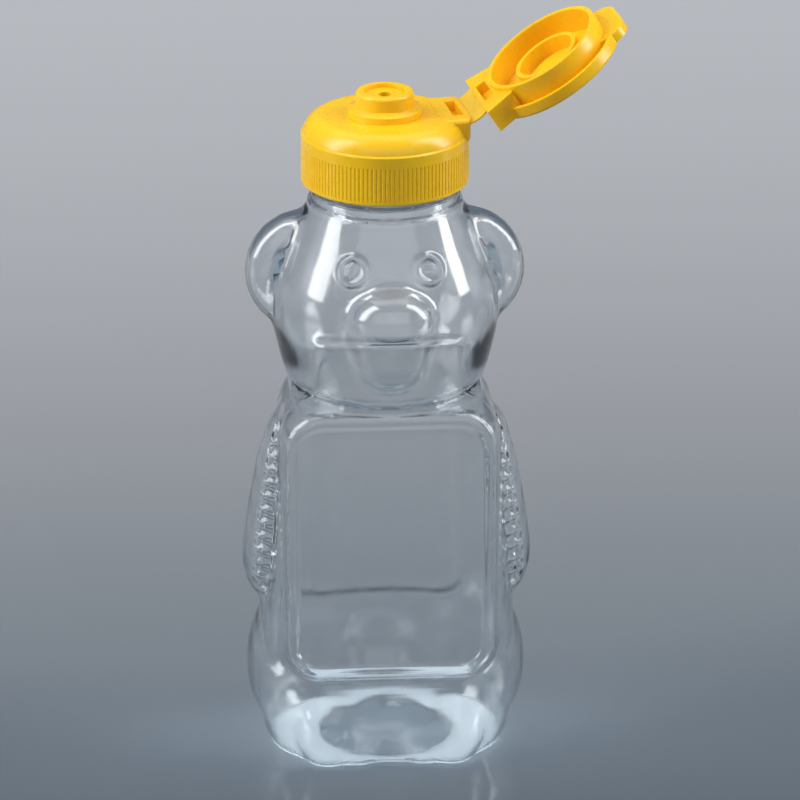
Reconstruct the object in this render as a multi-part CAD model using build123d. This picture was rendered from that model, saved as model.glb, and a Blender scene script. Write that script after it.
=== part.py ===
from build123d import *
import math
import os

# Sizes are in millimetres. Z points up, the bear faces -Y and the origin is the middle of
# its base, on the floor.

# Bottle wall
WALL = 0.8
NECK_WALL = 2.05

# Torso: a loft through sections of these shares of its sizes, which are the share of its
# height, half width, front distance, back distance and corner radius
TORSO_HEIGHT = 97.2
TORSO_HALF_WIDTH = 30.6
TORSO_FRONT = 22.8
TORSO_BACK = 26.0
TORSO_CORNER = 8.0
TORSO_SECTION_SHARES = (
    (0.0, 0.954, 0.965, 0.89, 2.35),
    (0.04, 1.01, 0.99, 0.955, 2.2),
    (0.14, 1.046, 1.0, 1.01, 1.7),
    (0.28, 1.046, 1.0, 1.015, 1.3),
    (0.43, 1.033, 1.0, 1.01, 1.05),
    (0.61, 1.0, 1.0, 1.0, 1.0),
    (0.87, 0.908, 1.0, 1.0, 1.0),
    (0.955, 0.85, 0.975, 0.955, 1.1),
    (1.0, 0.70, 0.86, 0.80, 1.25),
)
BACK_RADIUS = 44.0

# Belly block that stands out of the front of the torso
BELLY_HALF_WIDTH = 26.8
BELLY_BOTTOM = 24.5
BELLY_TOP = 96.6
BELLY_FRONT = 26.0
BELLY_BACK = 12.0
BELLY_CORNER = 9.0
BELLY_EDGE = 2.4

# Sunk label panels
PANEL_HALF_WIDTH = 23.5
PANEL_BOTTOM = 28.0
PANEL_TOP = 93.0
PANEL_CORNER = 7.0
PANEL_SINK = 1.2
BACK_PANEL_BOTTOM = 29.0
BACK_PANEL_TOP = 91.0
BACK_PANEL_HALF_WIDTH = 22.0

# Head of revolution: shares of its radius and of its height
HEAD_RADIUS = 28.1
HEAD_BOTTOM = 95.2
HEAD_HEIGHT = 49.2
HEAD_OUTLINE_SHARES = (
    (0.605, 0.0),
    (0.73, 0.016),
    (0.826, 0.045),
    (0.879, 0.081),
    (0.911, 0.13),
    (0.936, 0.187),
    (0.989, 0.321),
    (1.0, 0.453),
    (0.961, 0.606),
    (0.868, 0.748),
    (0.758, 0.878),
    (0.708, 0.947),
    (0.68, 1.0),
)

# Ears
EAR_X = 19.2
EAR_Y = 1.5
EAR_Z = 125.2
EAR_RADIUS = 15.6
EAR_THICKNESS = 11.0
EAR_ROUND = 4.6
EAR_DISH_RADIUS = 10.8
EAR_DISH_DEPTH = 1.6

# Face
MUZZLE_CENTRE = (0, -23.0, 117.0)
MUZZLE_SIZE = (12.0, 10.5, 14.0)
NOSE_CENTRE = (0, -27.5, 122.2)
NOSE_SIZE = (10.4, 7.5, 7.4)
CHIN_CENTRE = (0, -20.5, 109.2)
CHIN_SIZE = (10.4, 8.8, 8.6)
MOUTH_LEVEL = 115.2
MOUTH_HEIGHT = 1.5
MOUTH_DEPTH = 0.45
MOUTH_HALF_WIDTH = 19.0
EYE_X = 9.6
EYE_Z = 132.6
EYE_REACH = 24.2
EYE_RADIUS = 3.6
EYE_RIM = 0.9
EYE_HEIGHT = 0.8
EYE_TILT = 24.0

# Arms, drawn round an axis from the hand up to the shoulder: shares of radius and length
ARM_RADIUS = 9.7
ARM_LENGTH = 54.0
ARM_OUTLINE_SHARES = (
    (0.37, 0.0),
    (0.72, 0.06),
    (0.95, 0.16),
    (1.0, 0.27),
    (0.95, 0.48),
    (0.845, 0.685),
    (0.68, 0.86),
    (0.35, 0.99),
)
ARM_HAND = (27.9, -3.5, 39.5)
ARM_SHOULDER = (22.6, -2.0, 94.0)
RIB_COUNT = 12
RIB_PITCH = 3.5
RIB_FIRST = 6.4
RIB_HEIGHT = 1.8
RIB_DEPTH = 1.1
RIB_WIDTH = 15.0
RIB_TURN = 8.0
RIB_TILT = 5.0

# Hips, feet, the gap between the feet, and tail
HIP_CENTRE = (19.2, 1.0, 20.5)
HIP_SIZE = (16.0, 22.0, 21.5)
FOOT_CENTRE = (15.4, -14.2, 9.5)
FOOT_SIZE = (9.6, 11.6, 12.5)
FOOT_GAP_CENTRE = (0, -26.5, 3.0)
FOOT_GAP_SIZE = (9.5, 7.0, 19.0)
TAIL_CENTRE = (0, 25.2, 15.2)
TAIL_SIZE = (8.8, 5.2, 8.8)

# Base push-up
PUSH_UP_RADIUS = 17.0
PUSH_UP_HEIGHT = 6.0

# Neck finish of the 38 mm kind
NECK_RADIUS = 17.65
NECK_TOP = 161.4
NECK_EDGE = 0.5
COLLAR_RADIUS = 18.3
COLLAR_BOTTOM = 142.4
COLLAR_TOP = 146.7
BEAD_BOTTOM = 147.3
BEAD_TOP = 148.7
BEAD_RADIUS = 19.1
BEAD_ROUND = 0.5
THREAD_PITCH = 4.233
THREAD_DEPTH = 1.1
THREAD_ROOT = 2.3
THREAD_CREST = 1.0
THREAD_SINK = 0.25
THREAD_START = 152.9
THREAD_TURNS = 1.1
THREAD_STEPS_PER_TURN = 16
THREAD_TAPER_STEPS = 3
RADIAL_CLEARANCE = 0.4
SEAT_CLEARANCE = 0.05

# Foam seal
SEAL_THICKNESS = 1.1
SEAL_OUTER = 18.7
SEAL_INNER = 15.9

# Cap
SKIRT_RADIUS = 20.7
SKIRT_BOTTOM = 149.0
SKIRT_TOP = 161.8
SKIRT_SHOULDER = 20.2
CAP_RIB_COUNT = 120
CAP_RIB_DEPTH = 0.2
CAP_RIB_BOTTOM = 150.0
CAP_RIB_TOP = 158.6
DECK_RADIUS = 15.6
DECK_LEVEL = 166.0
DECK_THICKNESS = 1.7
DECK_SEAT_RADIUS = 15.2
SHOULDER_RADIUS = 18.8
SHOULDER_LEVEL = 164.5
SKIRT_CHAMFER = 0.4
SPOUT_RADIUS = 7.15
SPOUT_TOP = 172.0
SPOUT_FOOT_RADIUS = 9.1
SPOUT_FOOT_TOP = 167.6
SPOUT_FOOT_SLOPE = 0.9
SPOUT_LIP_ROUND = 0.7
SPOUT_WALL = 1.3
RECESS_RADIUS = 5.2
RECESS_DEPTH = 1.0
FLOW_HOLE_RADIUS = 1.6

# Hinge of the lid, turned from +X towards +Y; its axis lies outside the skirt
HINGE_AZIMUTH = 8.5
HINGE_X = 21.6
HINGE_Z = 167.5
LID_OPEN = 146.5
PLATFORM_INNER = 12.5
PLATFORM_OUTER = 19.9
PLATFORM_HALF_WIDTH = 9.6
PLATFORM_REACH = 21.3
PLATFORM_BOTTOM = 160.8
PLATFORM_TOP = 166.1
PLATFORM_ROUND = 1.0
POCKET_INNER = 16.0
POCKET_OUTER = 18.6
POCKET_HALF_WIDTH = 5.2
POCKET_DEPTH = 2.6

# Lid, drawn shut
LID_GAP = 0.35
LID_RIM_RADIUS = 15.4
LID_WALL = 1.2
LID_INSIDE = 172.9
LID_TOP = 174.3
LID_SKIRT_RADIUS = 18.2
LID_SKIRT_WALL = 1.0
LID_SKIRT_BOTTOM = 170.9
LID_EDGE_ROUND = 0.9
LID_RING_CLEARANCE = 0.3
LID_RING_WALL = 1.2
LID_RING_BOTTOM = 168.9
LID_DISC_RADIUS = 5.6
LID_DISC_HEIGHT = 0.5
LID_BLOCK_HALF_WIDTH = 12.4
LID_BLOCK_ROOT_HALF_WIDTH = 10.6
LID_BLOCK_OUTER = 19.8
LID_BLOCK_ROOT = 12.0
LID_BLOCK_BOTTOM = 167.3
LID_BLOCK_TOP = 173.4
THUMB_LIP_REACH = 2.2
THUMB_LIP_HALF_WIDTH = 9.0
THUMB_LIP_THICKNESS = 2.4
THUMB_LIP_ROUND = 5.0

# Hinge strap, a thin film between the cap and the lid
STRAP_HALF_WIDTH = 8.8
STRAP_THICKNESS = 0.45
STRAP_CAP_LEVEL = 165.2
STRAP_LID_LEVEL = 168.2
STRAP_SAG = 0.5

# One overrun for every cut that has to pass through a face
OVERRUN = 5.0


def ellipsoid(centre, size, inset):
    """One rounded bulge of the bear, smaller by the inset on every side."""
    half_x, half_y, half_z = size
    ball = scale(Sphere(1), by=(half_x - inset, half_y - inset, half_z - inset))
    return Pos(*centre) * ball


def both_sides(shape):
    """The shape and its mirror image on the other side of the bear."""
    return [shape, mirror(shape, Plane.YZ)]


def torso_section(shares, inset):
    """Outline of the torso at one level: flat in front, bowed at the back."""
    height_share, width_share, front_share, back_share, corner_share = shares
    side = TORSO_HALF_WIDTH * width_share - inset
    front_y = inset - TORSO_FRONT * front_share
    back_y = TORSO_BACK * back_share - inset
    sagitta = BACK_RADIUS - math.sqrt(BACK_RADIUS**2 - side**2)
    back_corner = back_y - sagitta
    front_edge = Line((-side, front_y), (side, front_y))
    right_edge = Line((side, front_y), (side, back_corner))
    back_edge = ThreePointArc((side, back_corner), (0, back_y), (-side, back_corner))
    left_edge = Line((-side, back_corner), (-side, front_y))
    face = make_face([front_edge, right_edge, back_edge, left_edge])
    rounded = fillet(face.vertices(), TORSO_CORNER * corner_share - inset)
    return Pos(0, 0, TORSO_HEIGHT * height_share) * rounded


def torso(inset):
    """The torso as one loft through its sections."""
    sections = [torso_section(shares, inset) for shares in TORSO_SECTION_SHARES]
    return loft(sections)


def belly(inset):
    """The belly block, drawn as a rounded board with a soft front edge."""
    height = BELLY_TOP - BELLY_BOTTOM - 2 * inset
    middle = (BELLY_TOP + BELLY_BOTTOM) / 2
    outline = RectangleRounded(2 * (BELLY_HALF_WIDTH - inset), height, BELLY_CORNER - inset)
    front = BELLY_FRONT - inset
    board = extrude(Plane.XZ * outline, front - BELLY_BACK)
    board = fillet(board.edges().group_by(Axis.Y)[0], BELLY_EDGE - inset)
    return Pos(0, -BELLY_BACK, middle) * board


def offset_outline(points, inset):
    """Moves the points of a turned outline inwards, square to the outline."""
    moved = []
    for index, (radius, level) in enumerate(points):
        before = points[max(index - 1, 0)]
        after = points[min(index + 1, len(points) - 1)]
        run, rise = after[0] - before[0], after[1] - before[1]
        length = math.hypot(run, rise)
        moved.append((radius - inset * rise / length, level + inset * run / length))
    return moved


def head(inset):
    """The head turned round the axis of the bottle."""
    outline = [
        (HEAD_RADIUS * radius_share, HEAD_BOTTOM + HEAD_HEIGHT * height_share)
        for radius_share, height_share in HEAD_OUTLINE_SHARES
    ]
    points = offset_outline(outline, inset)
    curve = Spline(*points)
    bottom = Line((0, points[0][1]), points[0])
    top = Line(points[-1], (0, points[-1][1]))
    axis = Line((0, points[-1][1]), (0, points[0][1]))
    face = make_face([bottom, curve, top, axis])
    return revolve(Plane.XZ * face, Axis.Z)


def ear(inset):
    """One ear: a thick disc with round edges and a dished front, standing across the bear."""
    disc = Cylinder(EAR_RADIUS - inset, EAR_THICKNESS - 2 * inset)
    disc = fillet(disc.edges().filter_by(GeomType.CIRCLE), EAR_ROUND - inset)
    disc = Pos(EAR_X, EAR_Y, EAR_Z) * Rot(90, 0, 0) * disc
    front = (EAR_X, EAR_Y - EAR_THICKNESS / 2, EAR_Z)
    return disc - ellipsoid(front, (EAR_DISH_RADIUS, EAR_DISH_DEPTH, EAR_DISH_RADIUS), -inset)


def arm(inset):
    """One arm round its own axis, leaning out from the shoulder to the hand."""
    skin = inset + (RIB_DEPTH if inset > 0 else 0)
    outline = [
        (ARM_RADIUS * radius_share, ARM_LENGTH * height_share)
        for radius_share, height_share in ARM_OUTLINE_SHARES
    ]
    points = offset_outline(outline, skin)
    curve = Spline(*points)
    bottom = Line((0, points[0][1]), points[0])
    top = Line(points[-1], (0, points[-1][1]))
    axis = Line((0, points[-1][1]), (0, points[0][1]))
    limb = revolve(Plane.XZ * make_face([bottom, curve, top, axis]), Axis.Z)
    if inset == 0:
        limb = limb - ribs()
    return arm_place() * limb


def arm_place():
    """Where the arm's own axis stands on the bear."""
    hand = Vector(*ARM_HAND)
    reach = Vector(*ARM_SHOULDER) - hand
    return Location(Plane(origin=hand, x_dir=(1, 0, 0), z_dir=reach))


def arm_radius(height):
    """Radius of the arm at one height, read from its outline."""
    share = height / ARM_LENGTH
    for lower, upper in zip(ARM_OUTLINE_SHARES, ARM_OUTLINE_SHARES[1:]):
        if lower[1] <= share <= upper[1]:
            part = (share - lower[1]) / (upper[1] - lower[1])
            return ARM_RADIUS * (lower[0] + part * (upper[0] - lower[0]))
    return 0


def ribs():
    """The row of grooves pressed into the front of an arm."""
    cutters = []
    for index in range(RIB_COUNT):
        height = RIB_FIRST + index * RIB_PITCH
        front = arm_radius(height) - RIB_DEPTH
        block = Box(RIB_WIDTH, OVERRUN, RIB_HEIGHT, align=(Align.CENTER, Align.MAX, Align.CENTER))
        cutters.append(Rot(0, 0, RIB_TURN) * Pos(0, -front, height) * Rot(0, -RIB_TILT, 0) * block)
    return cutters


def front_panel(inset):
    """Cutter of the flat label panel on the belly."""
    half_width = PANEL_HALF_WIDTH + inset
    height = PANEL_TOP - PANEL_BOTTOM + 2 * inset
    middle = (PANEL_TOP + PANEL_BOTTOM) / 2
    outline = RectangleRounded(2 * half_width, height, PANEL_CORNER + inset)
    front = BELLY_FRONT - PANEL_SINK - inset
    return Pos(0, -front, middle) * extrude(Plane.XZ * outline, OVERRUN)


def back_panel(inset):
    """Cutter of the bowed label panel on the back."""
    half_width = BACK_PANEL_HALF_WIDTH + inset
    height = BACK_PANEL_TOP - BACK_PANEL_BOTTOM + 2 * inset
    middle = (BACK_PANEL_TOP + BACK_PANEL_BOTTOM) / 2
    outline = RectangleRounded(2 * half_width, height, PANEL_CORNER + inset)
    back = TORSO_BACK
    slab = Pos(0, back + OVERRUN, middle) * extrude(Plane.XZ * outline, 4 * OVERRUN)
    core = Cylinder(BACK_RADIUS - PANEL_SINK - inset, 2 * height)
    return slab - Pos(0, back - BACK_RADIUS, middle) * core


def face_bulges(inset):
    """Muzzle, nose and chin."""
    return [
        ellipsoid(MUZZLE_CENTRE, MUZZLE_SIZE, inset),
        ellipsoid(NOSE_CENTRE, NOSE_SIZE, inset),
        ellipsoid(CHIN_CENTRE, CHIN_SIZE, inset),
    ]


def eye():
    """One eye: a raised ring round a flat middle."""
    reach = math.sqrt(EYE_REACH**2 - EYE_X**2)
    disc = Cylinder(EYE_RADIUS, 2 * EYE_HEIGHT)
    dish = Pos(0, 0, EYE_HEIGHT) * Cylinder(EYE_RADIUS - EYE_RIM, EYE_HEIGHT)
    turn = math.degrees(math.atan2(EYE_X, reach))
    return Pos(EYE_X, -reach, EYE_Z) * Rot(0, 0, turn) * Rot(90 - EYE_TILT, 0, 0) * (disc - dish)


def floor_cut(inset):
    """Cutters of the flat base and of its push-up."""
    size = 4 * SKIRT_RADIUS
    slab = Pos(0, 0, inset) * Box(size, size, size, align=(Align.CENTER, Align.CENTER, Align.MAX))
    dome = scale(Sphere(1), by=(PUSH_UP_RADIUS + inset, PUSH_UP_RADIUS + inset, PUSH_UP_HEIGHT + inset))
    return [slab, dome]


def bear(inset):
    """The whole bear up to the collar, smaller by the inset on every side."""
    parts = [head(inset)]
    parts += both_sides(ear(inset))
    parts += both_sides(arm(inset))
    parts += both_sides(ellipsoid(HIP_CENTRE, HIP_SIZE, inset))
    parts += both_sides(ellipsoid(FOOT_CENTRE, FOOT_SIZE, inset))
    parts += face_bulges(inset)
    parts.append(ellipsoid(TAIL_CENTRE, TAIL_SIZE, inset))
    body = torso(inset) - ellipsoid(FOOT_GAP_CENTRE, FOOT_GAP_SIZE, -inset)
    body = body.fuse(belly(inset)) - front_panel(inset) - back_panel(inset)
    body = body.fuse(*parts)
    for cutter in floor_cut(inset):
        body = body - cutter
    return body


def turned(points):
    """Solid turned round the Z axis from straight-edged points of radius and level."""
    outline = Polyline(*points, close=True)
    return revolve(Plane.XZ * make_face(outline), Axis.Z)


def ring(outer, inner, bottom, top):
    """Plain ring round the Z axis."""
    return turned([(inner, bottom), (outer, bottom), (outer, top), (inner, top)])


def thread(wall_radius, crest_radius, start):
    """One turn of screw thread with both ends run out; it starts at the given level."""
    outward = 1 if crest_radius > wall_radius else -1
    depth = abs(crest_radius - wall_radius)
    steps = round(THREAD_TURNS * THREAD_STEPS_PER_TURN)
    sections = []
    for index in range(steps + 1):
        full = min(index, steps - index, THREAD_TAPER_STEPS) / THREAD_TAPER_STEPS
        reach = outward * depth * full
        sink = -outward * THREAD_SINK
        crest = THREAD_CREST / 2
        root = THREAD_ROOT / 2
        outline = Polyline((sink, -root), (reach, -crest), (reach, crest), (sink, root), close=True)
        turn = math.radians(360 * index / THREAD_STEPS_PER_TURN)
        radial = Vector(math.cos(turn), math.sin(turn), 0)
        along = Vector(math.sin(turn), -math.cos(turn), 0)
        level = start + THREAD_PITCH * index / THREAD_STEPS_PER_TURN
        origin = radial * wall_radius + Vector(0, 0, level)
        sections.append(Plane(origin=origin, x_dir=radial, z_dir=along) * make_face(outline))
    return loft(sections)


def neck():
    """Collar, bead, wall and thread of the bottle's neck, still solid inside."""
    collar = Pos(0, 0, COLLAR_BOTTOM) * Cylinder(
        COLLAR_RADIUS, COLLAR_TOP - COLLAR_BOTTOM, align=(Align.CENTER, Align.CENTER, Align.MIN)
    )
    bead = Pos(0, 0, BEAD_BOTTOM) * Cylinder(
        BEAD_RADIUS, BEAD_TOP - BEAD_BOTTOM, align=(Align.CENTER, Align.CENTER, Align.MIN)
    )
    bead = fillet(bead.edges().filter_by(GeomType.CIRCLE), BEAD_ROUND)
    wall = Pos(0, 0, COLLAR_BOTTOM) * Cylinder(
        NECK_RADIUS, NECK_TOP - COLLAR_BOTTOM, align=(Align.CENTER, Align.CENTER, Align.MIN)
    )
    wall = chamfer(wall.edges().group_by(Axis.Z)[-1], NECK_EDGE)
    return collar.fuse(bead, wall, thread(NECK_RADIUS, NECK_RADIUS + THREAD_DEPTH, THREAD_START))


def bottle():
    """The blown bear bottle: one even wall from the neck to the push-up of the base."""
    bore = Pos(0, 0, COLLAR_BOTTOM - OVERRUN) * Cylinder(
        NECK_RADIUS - NECK_WALL, 6 * OVERRUN, align=(Align.CENTER, Align.CENTER, Align.MIN)
    )
    outside = bear(0).fuse(neck())
    for side in (-1, 1):
        outside = outside.fuse(mirrored(eye(), side))
    outside = outside - mouth()
    shoulder = Pos(0, 0, COLLAR_BOTTOM) * Cylinder(
        HEAD_RADIUS, NECK_TOP - COLLAR_BOTTOM, align=(Align.CENTER, Align.CENTER, Align.MIN)
    )
    return outside - (bear(WALL) - shoulder).fuse(bore)


def mirrored(shape, side):
    """The shape itself, or its mirror image for side -1."""
    return shape if side > 0 else mirror(shape, Plane.YZ)


def mouth():
    """Cutter of the mouth line across both cheeks, left out where the nose stands."""
    middle = HEAD_RADIUS
    groove = ring(middle + OVERRUN, middle - MOUTH_DEPTH, -MOUTH_HEIGHT / 2, MOUTH_HEIGHT / 2)
    width = 2 * MOUTH_HALF_WIDTH
    window = Pos(0, -middle, 0) * Box(width, middle, 2 * MOUTH_HEIGHT)
    nose = Pos(0, -middle, 0) * Cylinder(MUZZLE_SIZE[0], 2 * MOUTH_HEIGHT)
    return Pos(0, 0, MOUTH_LEVEL) * (groove & window) - Pos(0, 0, MOUTH_LEVEL) * nose


def seal_ring():
    """Foam ring between the lip of the neck and the cap."""
    bottom = NECK_TOP + SEAT_CLEARANCE
    return ring(SEAL_OUTER, SEAL_INNER, bottom, bottom + SEAL_THICKNESS)


def seat_level():
    """Level of the cap's ceiling over the foam ring."""
    return NECK_TOP + SEAL_THICKNESS + 2 * SEAT_CLEARANCE


def cap_inside_radius():
    """Inner radius of the skirt, clear of the thread of the neck."""
    return NECK_RADIUS + THREAD_DEPTH + RADIAL_CLEARANCE


def cap_shell():
    """Skirt, domed deck and spout as one turned shape, with the way out left open."""
    inside = cap_inside_radius()
    seat = seat_level()
    ceiling = DECK_LEVEL - DECK_THICKNESS
    channel = SPOUT_RADIUS - SPOUT_WALL
    foot_inside = SPOUT_FOOT_RADIUS - SPOUT_WALL
    shelf = SPOUT_TOP - RECESS_DEPTH
    lip = SPOUT_LIP_ROUND
    lip_mid = lip * (1 - math.sqrt(0.5))
    lines = [
        Polyline(
            (SKIRT_SHOULDER, SKIRT_TOP),
            (SKIRT_RADIUS, SKIRT_TOP - SKIRT_CHAMFER),
            (SKIRT_RADIUS, SKIRT_BOTTOM + SKIRT_CHAMFER),
            (SKIRT_RADIUS - SKIRT_CHAMFER, SKIRT_BOTTOM),
            (inside, SKIRT_BOTTOM),
            (inside, seat),
            (DECK_SEAT_RADIUS, seat),
            (DECK_SEAT_RADIUS, ceiling),
            (foot_inside, ceiling),
            (foot_inside, SPOUT_FOOT_TOP - SPOUT_WALL),
            (channel, SPOUT_FOOT_TOP),
            (channel, shelf - SPOUT_WALL),
            (FLOW_HOLE_RADIUS, shelf - SPOUT_WALL),
            (FLOW_HOLE_RADIUS, shelf),
            (RECESS_RADIUS, shelf),
            (RECESS_RADIUS, SPOUT_TOP),
            (SPOUT_RADIUS - lip, SPOUT_TOP),
        ),
        ThreePointArc(
            (SPOUT_RADIUS - lip, SPOUT_TOP),
            (SPOUT_RADIUS - lip_mid, SPOUT_TOP - lip_mid),
            (SPOUT_RADIUS, SPOUT_TOP - lip),
        ),
        Polyline(
            (SPOUT_RADIUS, SPOUT_TOP - lip),
            (SPOUT_RADIUS, SPOUT_FOOT_TOP + SPOUT_FOOT_SLOPE),
            (SPOUT_FOOT_RADIUS, SPOUT_FOOT_TOP),
            (SPOUT_FOOT_RADIUS, DECK_LEVEL),
            (DECK_RADIUS, DECK_LEVEL),
        ),
        ThreePointArc(
            (DECK_RADIUS, DECK_LEVEL), (SHOULDER_RADIUS, SHOULDER_LEVEL), (SKIRT_SHOULDER, SKIRT_TOP)
        ),
    ]
    return revolve(Plane.XZ * make_face(lines), Axis.Z)


def skirt_ribs():
    """Cutter of the fine grooves between the grip ribs, drawn as one toothed ring."""
    points = []
    for index in range(2 * CAP_RIB_COUNT):
        turn = math.pi * index / CAP_RIB_COUNT
        reach = SKIRT_RADIUS + (CAP_RIB_DEPTH if index % 2 else -CAP_RIB_DEPTH)
        points.append((reach * math.cos(turn), reach * math.sin(turn)))
    teeth = Circle(SKIRT_RADIUS + OVERRUN) - make_face(Polyline(*points, close=True))
    return Pos(0, 0, CAP_RIB_BOTTOM) * extrude(teeth, CAP_RIB_TOP - CAP_RIB_BOTTOM)


def hinge_place():
    """Turns a shape drawn towards +X to where the hinge stands."""
    return Rot(0, 0, HINGE_AZIMUTH)


def hinge_platform():
    """Raised block at the rim of the cap that carries the strap, with its pocket."""
    height = PLATFORM_TOP - PLATFORM_BOTTOM
    reach = PLATFORM_OUTER - PLATFORM_INNER
    block = Box(reach, 2 * PLATFORM_HALF_WIDTH, height, align=(Align.MAX, Align.CENTER, Align.MAX))
    block = Pos(PLATFORM_OUTER, 0, PLATFORM_TOP) * block
    ends = block.edges().filter_by(Axis.X).group_by(Axis.Z)[-1]
    block = fillet(ends, PLATFORM_ROUND)
    limit = Pos(0, 0, PLATFORM_BOTTOM) * Cylinder(PLATFORM_REACH, 4 * height)
    seat = seat_level()
    hollow = Pos(0, 0, seat) * Cylinder(
        cap_inside_radius(), 4 * height, align=(Align.CENTER, Align.CENTER, Align.MAX)
    )
    inner = Pos(0, 0, PLATFORM_BOTTOM) * Cylinder(DECK_SEAT_RADIUS, 4 * height)
    keep = (block & limit) - hollow
    return keep - (inner & Pos(0, 0, DECK_LEVEL - DECK_THICKNESS) * Cylinder(
        DECK_SEAT_RADIUS, 4 * height, align=(Align.CENTER, Align.CENTER, Align.MAX)
    ))


def hinge_pocket():
    """Cutter of the pocket in the platform."""
    reach = POCKET_OUTER - POCKET_INNER
    cut = Box(reach, 2 * POCKET_HALF_WIDTH, OVERRUN, align=(Align.MIN, Align.CENTER, Align.MIN))
    return Pos(POCKET_INNER, 0, PLATFORM_TOP - POCKET_DEPTH) * cut


def cap_base():
    """The screw cap with its spout."""
    inside = cap_inside_radius()
    start = THREAD_START - THREAD_PITCH / 2
    grip = thread(inside, NECK_RADIUS + RADIAL_CLEARANCE, start)
    cap = cap_shell() - skirt_ribs()
    cap = cap.fuse(grip, hinge_place() * hinge_platform())
    return cap - hinge_place() * hinge_pocket()


def lid_shut():
    """The flip lid drawn shut, its hinge towards +X."""
    rim = DECK_LEVEL + LID_GAP
    outside = turned([
        (0, rim),
        (LID_RIM_RADIUS, rim),
        (LID_RIM_RADIUS, LID_INSIDE),
        (LID_SKIRT_RADIUS - LID_SKIRT_WALL, LID_INSIDE),
        (LID_SKIRT_RADIUS - LID_SKIRT_WALL, LID_SKIRT_BOTTOM),
        (LID_SKIRT_RADIUS, LID_SKIRT_BOTTOM),
        (LID_SKIRT_RADIUS, LID_TOP),
        (0, LID_TOP),
    ])
    top_edge = outside.edges().filter_by(GeomType.CIRCLE).group_by(Axis.Z)[-1]
    outside = fillet(top_edge, LID_EDGE_ROUND)
    outside = outside.fuse(lid_block(), thumb_lip())
    inside = Pos(0, 0, rim - OVERRUN) * Cylinder(
        LID_RIM_RADIUS - LID_WALL, LID_INSIDE - rim + OVERRUN, align=(Align.CENTER, Align.CENTER, Align.MIN)
    )
    lid = outside - inside
    grip_inner = SPOUT_RADIUS + LID_RING_CLEARANCE
    grip = ring(grip_inner + LID_RING_WALL, grip_inner, LID_RING_BOTTOM, LID_TOP - LID_EDGE_ROUND)
    disc = Pos(0, 0, LID_INSIDE - LID_DISC_HEIGHT) * Cylinder(
        LID_DISC_RADIUS, 2 * LID_DISC_HEIGHT, align=(Align.CENTER, Align.CENTER, Align.MIN)
    )
    return lid.fuse(grip, disc)


def lid_block():
    """Wedge-shaped block of the lid that reaches out to the strap."""
    outline = Polyline(
        (LID_BLOCK_OUTER, -LID_BLOCK_HALF_WIDTH),
        (LID_BLOCK_OUTER, LID_BLOCK_HALF_WIDTH),
        (LID_BLOCK_ROOT, LID_BLOCK_ROOT_HALF_WIDTH),
        (LID_BLOCK_ROOT, -LID_BLOCK_ROOT_HALF_WIDTH),
        close=True,
    )
    block = extrude(make_face(outline), LID_BLOCK_TOP - LID_BLOCK_BOTTOM)
    reach = POCKET_OUTER - POCKET_INNER
    pocket = Box(reach, 2 * POCKET_HALF_WIDTH, 2 * POCKET_DEPTH, align=(Align.MIN, Align.CENTER, Align.CENTER))
    block = block - Pos(POCKET_INNER, 0, 0) * pocket
    return Pos(0, 0, LID_BLOCK_BOTTOM) * block


def thumb_lip():
    """Lip at the front of the lid that a thumb lifts."""
    reach = LID_SKIRT_RADIUS + THUMB_LIP_REACH
    lip = RectangleRounded(2 * reach, 2 * THUMB_LIP_HALF_WIDTH, THUMB_LIP_ROUND)
    plate = extrude(lip, THUMB_LIP_THICKNESS)
    half = Box(reach, 2 * reach, LID_TOP, align=(Align.MAX, Align.CENTER, Align.CENTER))
    return Pos(0, 0, LID_TOP - LID_EDGE_ROUND - THUMB_LIP_THICKNESS) * (plate & half)


def opened(shape, angle):
    """Swings a shape drawn shut round the axis of the hinge."""
    there = Pos(HINGE_X, 0, HINGE_Z)
    back = Pos(-HINGE_X, 0, -HINGE_Z)
    return there * Rot(0, angle, 0) * back * shape


def lid():
    """The flip lid, open as it is seen."""
    return hinge_place() * opened(lid_shut(), LID_OPEN)


def hinge_strap():
    """Thin bent film from the platform of the cap to the block of the lid."""
    turn = math.radians(LID_OPEN)
    start = Vector(PLATFORM_OUTER, 0, STRAP_CAP_LEVEL)
    arm_x = LID_BLOCK_OUTER - HINGE_X
    arm_z = STRAP_LID_LEVEL - HINGE_Z
    end = Vector(
        HINGE_X + arm_x * math.cos(turn) + arm_z * math.sin(turn),
        0,
        HINGE_Z - arm_x * math.sin(turn) + arm_z * math.cos(turn),
    )
    along = (end - start).normalized()
    across = Vector(along.Z, 0, -along.X)
    start = start - along * STRAP_THICKNESS
    end = end + along * STRAP_THICKNESS
    middle = (start + end) * 0.5 + across * STRAP_SAG
    half = across * (STRAP_THICKNESS / 2)
    edge = STRAP_HALF_WIDTH
    lower = ThreePointArc(start + half, middle + half, end + half)
    upper = ThreePointArc(start - half, middle - half, end - half)
    first = Line(start + half, start - half)
    last = Line(end + half, end - half)
    band = extrude(make_face([lower, last, upper, first]), edge, dir=(0, 1, 0), both=True)
    return hinge_place() * (band - hinge_platform() - opened(lid_shut(), LID_OPEN))


def main():
    """Builds every piece and writes one STEP file for each."""
    os.makedirs("parts", exist_ok=True)
    pieces = {
        "bottle": bottle(),
        "seal_ring": seal_ring(),
        "cap_base": cap_base(),
        "hinge_strap": hinge_strap(),
        "lid": lid(),
    }
    for name, shape in pieces.items():
        export_step(shape, f"parts/{name}.step")


main()
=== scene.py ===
"""The look of a clear honey bear bottle with an open flip-top cap."""

import logging
import math
from collections.abc import Callable, Iterator
from contextlib import contextmanager
from dataclasses import dataclass, field
from enum import Enum

import bpy
import numpy as np
from mathutils import Matrix, Vector


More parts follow.
